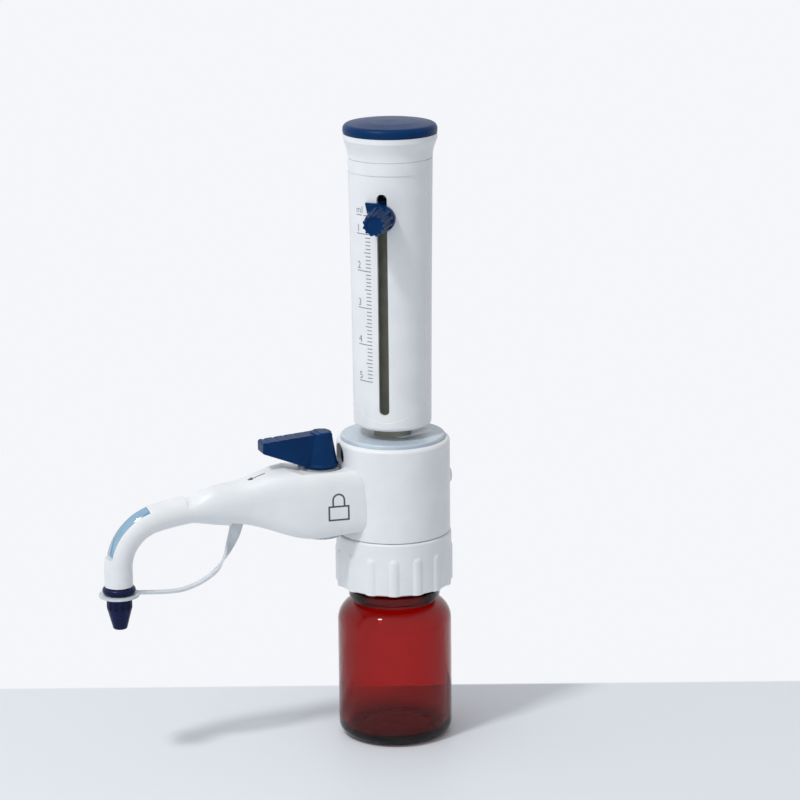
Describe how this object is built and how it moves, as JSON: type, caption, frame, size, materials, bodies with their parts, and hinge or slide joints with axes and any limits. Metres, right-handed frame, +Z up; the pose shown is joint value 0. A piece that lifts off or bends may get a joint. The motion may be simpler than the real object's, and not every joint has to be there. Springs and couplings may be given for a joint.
{
  "type": "bottle-top dispenser",
  "caption": "Bottle-top dispenser screwed to an amber reagent bottle: plunger sleeve with volume slot and clamping knob, swivelling discharge arm with valve lever and a tethered nozzle closure",
  "frame": {"origin": "on the bottle's axis, in the plane of the bottle's standing ring", "axes": "+Z up along the bottle and plunger, the discharge arm points along -X, +Y completes a right-handed frame"},
  "size_m": [0.1782, 0.0632, 0.3065],
  "materials": {
    "amber_glass": "amber borosilicate glass, glossy",
    "white_plastic": "moulded white polypropylene, satin",
    "block_plastic": "light blue-grey fluoropolymer, smooth",
    "navy_plastic": "navy moulded plastic, satin",
    "cap_plastic": "dark blue moulded plastic",
    "jacket_plastic": "grey-olive tube, satin",
    "clear_glass": "clear borosilicate glass",
    "piston_ptfe": "white PTFE",
    "rod_ceramic": "white ceramic rod, ground",
    "tube_fluoro": "translucent fluoropolymer",
    "window_plastic": "light blue translucent plastic",
    "tether_plastic": "translucent polypropylene, flexible",
    "seal_rubber": "elastomer",
    "steel": "stainless steel",
    "ball_glass": "ground ball"
  },
  "bodies": {
    "bottle": {"bottle": "amber_glass"},
    "seat": {"neck_seal": "seal_rubber", "adapter": "white_plastic"},
    "collar": {"collar": "white_plastic"},
    "block": {"valve_block": "block_plastic", "spigot_clip": "steel", "housing": "white_plastic", "vent_plug": "white_plastic", "filling_valve": "tube_fluoro", "return_spigot": "tube_fluoro", "glass_barrel": "clear_glass", "barrel_jacket": "jacket_plastic", "stop_ring": "jacket_plastic", "arm_shell": "white_plastic", "spout_window": "window_plastic", "valve_chimney": "tube_fluoro", "discharge_tube": "tube_fluoro", "spout_ferrule": "white_plastic", "tether_anchor": "tether_plastic", "tether_strap": "tether_plastic"},
    "plunger": {"sleeve": "white_plastic", "head": "white_plastic", "head_cap": "navy_plastic", "piston_rod": "rod_ceramic", "piston": "piston_ptfe", "head_screw": "steel"},
    "pointer": {"pointer": "navy_plastic", "pointer_shoe": "navy_plastic"},
    "knob": {"knob": "navy_plastic", "knob_stud": "steel"},
    "lever": {"lever": "navy_plastic", "valve_plug": "piston_ptfe"},
    "tether_ring": {"tether_ring": "tether_plastic"},
    "nozzle_cap": {"nozzle_cap": "cap_plastic"},
    "filling_ball": {"filling_ball": "ball_glass"},
    "discharge_ball": {"discharge_ball": "ball_glass"}
  },
  "joints": [
    {"name": "collar_turn", "type": "hinge", "parent": "seat", "child": "collar", "pos_m": [0, 0, 0.0912], "axis": [0, 0, 1], "range_deg": [0, 540]},
    {"name": "unscrew_lift", "type": "slide", "parent": "bottle", "child": "seat", "axis": [0, 0, 1], "range_m": [0, 0.00601]},
    {"name": "arm_swivel", "type": "hinge", "parent": "seat", "child": "block", "pos_m": [0, 0, 0.1046], "axis": [0, 0, 1], "continuous": true},
    {"name": "plunger_lift", "type": "slide", "parent": "block", "child": "plunger", "axis": [0, 0, 1], "range_m": [0, 0.09]},
    {"name": "pointer_slide", "type": "slide", "parent": "plunger", "child": "pointer", "axis": [0, 0, -1], "range_m": [-0.004, 0.088]},
    {"name": "knob_turn", "type": "hinge", "parent": "pointer", "child": "knob", "pos_m": [-0.0159, -0.02544, 0.2626], "axis": [-0.5299, -0.848, 0], "range_deg": [0, 540]},
    {"name": "lever_turn", "type": "hinge", "parent": "block", "child": "lever", "pos_m": [-0.0371, 0, 0.1403], "axis": [0, 0, 1], "range_deg": [-90, 90]},
    {"name": "ring_drop", "type": "slide", "parent": "block", "child": "tether_ring", "axis": [0, 0, -1], "range_m": [0, 0.016], "deforming": ["tether_strap"]},
    {"name": "cap_turn", "type": "hinge", "parent": "tether_ring", "child": "nozzle_cap", "pos_m": [-0.1392, 0, 0.0866], "axis": [0, 0, 1], "continuous": true},
    {"name": "filling_ball_lift", "type": "slide", "parent": "block", "child": "filling_ball", "axis": [0, 0, 1], "range_m": [0, 0.0013]},
    {"name": "discharge_ball_lift", "type": "slide", "parent": "block", "child": "discharge_ball", "axis": [-1, 0, 0], "range_m": [0, 0.0013]}
  ],
  "couplings": [
    {"joint": "unscrew_lift", "follows": "collar_turn", "m_per_rad": 0.00063662}
  ]
}
